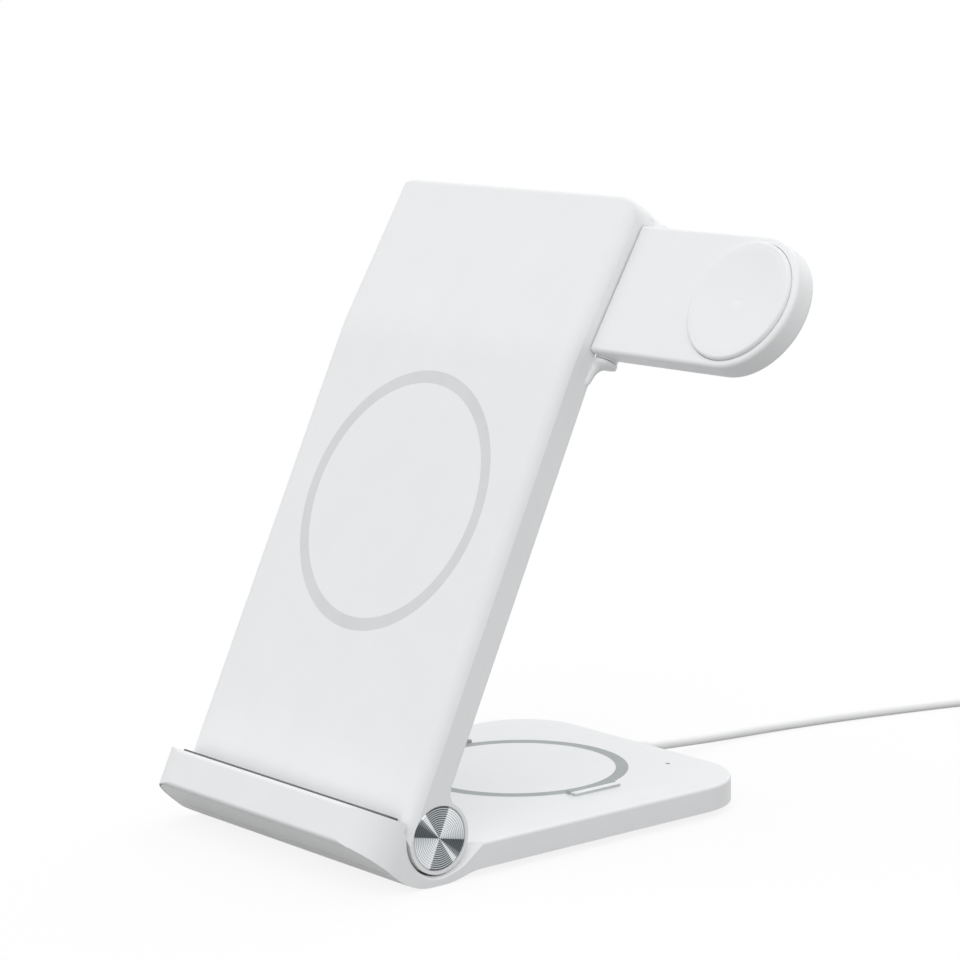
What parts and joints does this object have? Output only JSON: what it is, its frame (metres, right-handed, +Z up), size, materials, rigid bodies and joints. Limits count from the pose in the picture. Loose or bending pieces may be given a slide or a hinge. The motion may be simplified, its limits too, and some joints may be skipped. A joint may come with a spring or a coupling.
{
  "type": "wireless charger",
  "caption": "Folding wireless charger: flat base with a round pad, a reclined hinged stand over a front ledge, a fold-back side arm with a puck, and a captive cable ending in a plug.",
  "frame": {"origin": "on the underside of the rear foot pad, on the table, midway across the width and near the middle of the base's length", "axes": "+X to the side that the arm unfolds to, -Y to the front where the ledge is, +Z up"},
  "size_m": [0.1204, 0.2295, 0.1263],
  "materials": {
    "white_plastic": "fine matte moulding",
    "grey_silicone": "matte",
    "dark_silicone": "matte",
    "foot_silicone": "matte",
    "turned_metal": "turned, concentric lines",
    "steel": "plain",
    "copper_wire": "enamelled winding",
    "ferrite": "sintered",
    "circuit_board": "solder mask",
    "light_pipe": "clear moulding",
    "cable_jacket": "smooth jacket",
    "tie_plastic": "matte",
    "plug_metal": "nickel plated"
  },
  "bodies": {
    "base": {"base_shell": "white_plastic", "base_bottom_cover": "white_plastic", "base_foot_pad": "foot_silicone", "base_foot_strip": "foot_silicone", "base_screws": "steel", "base_pad_ring": "grey_silicone", "base_coil": "copper_wire", "base_ferrite": "ferrite", "base_circuit_board": "circuit_board", "status_light": "light_pipe", "cable_grommet": "cable_jacket", "ledge_grip_strip": "dark_silicone", "ledge_under_panel": "white_plastic", "hinge_bracket_left": "steel", "hinge_bracket_right": "steel", "cable": "cable_jacket", "cable_tail": "cable_jacket", "cable_coil": "cable_jacket", "cable_tie": "tie_plastic", "plug_overmould": "cable_jacket", "plug_shell": "plug_metal"},
    "stand": {"stand_shell": "white_plastic", "stand_back_cover": "white_plastic", "stand_front_ring": "grey_silicone", "stand_coil_upper": "copper_wire", "stand_coil_lower": "copper_wire", "stand_ferrite": "ferrite", "stand_circuit_board": "circuit_board", "hinge_cap_left": "turned_metal", "hinge_cap_right": "turned_metal", "hinge_shaft_left": "steel", "hinge_shaft_right": "steel", "arm_hinge_pin": "steel"},
    "arm": {"arm_shell": "white_plastic", "arm_back_cover": "white_plastic", "arm_puck": "white_plastic", "puck_coil": "copper_wire", "puck_magnet": "steel"}
  },
  "joints": [
    {"name": "stand_fold", "type": "hinge", "parent": "base", "child": "stand", "pos_m": [0, -0.043, 0.0093], "axis": [-1, 0, 0], "range_deg": [0, 62.5]},
    {"name": "arm_fold", "type": "hinge", "parent": "stand", "child": "arm", "pos_m": [0.0375, 0.00579, 0.10738], "axis": [0, 0.5171, 0.8559], "range_deg": [0, 180]}
  ]
}
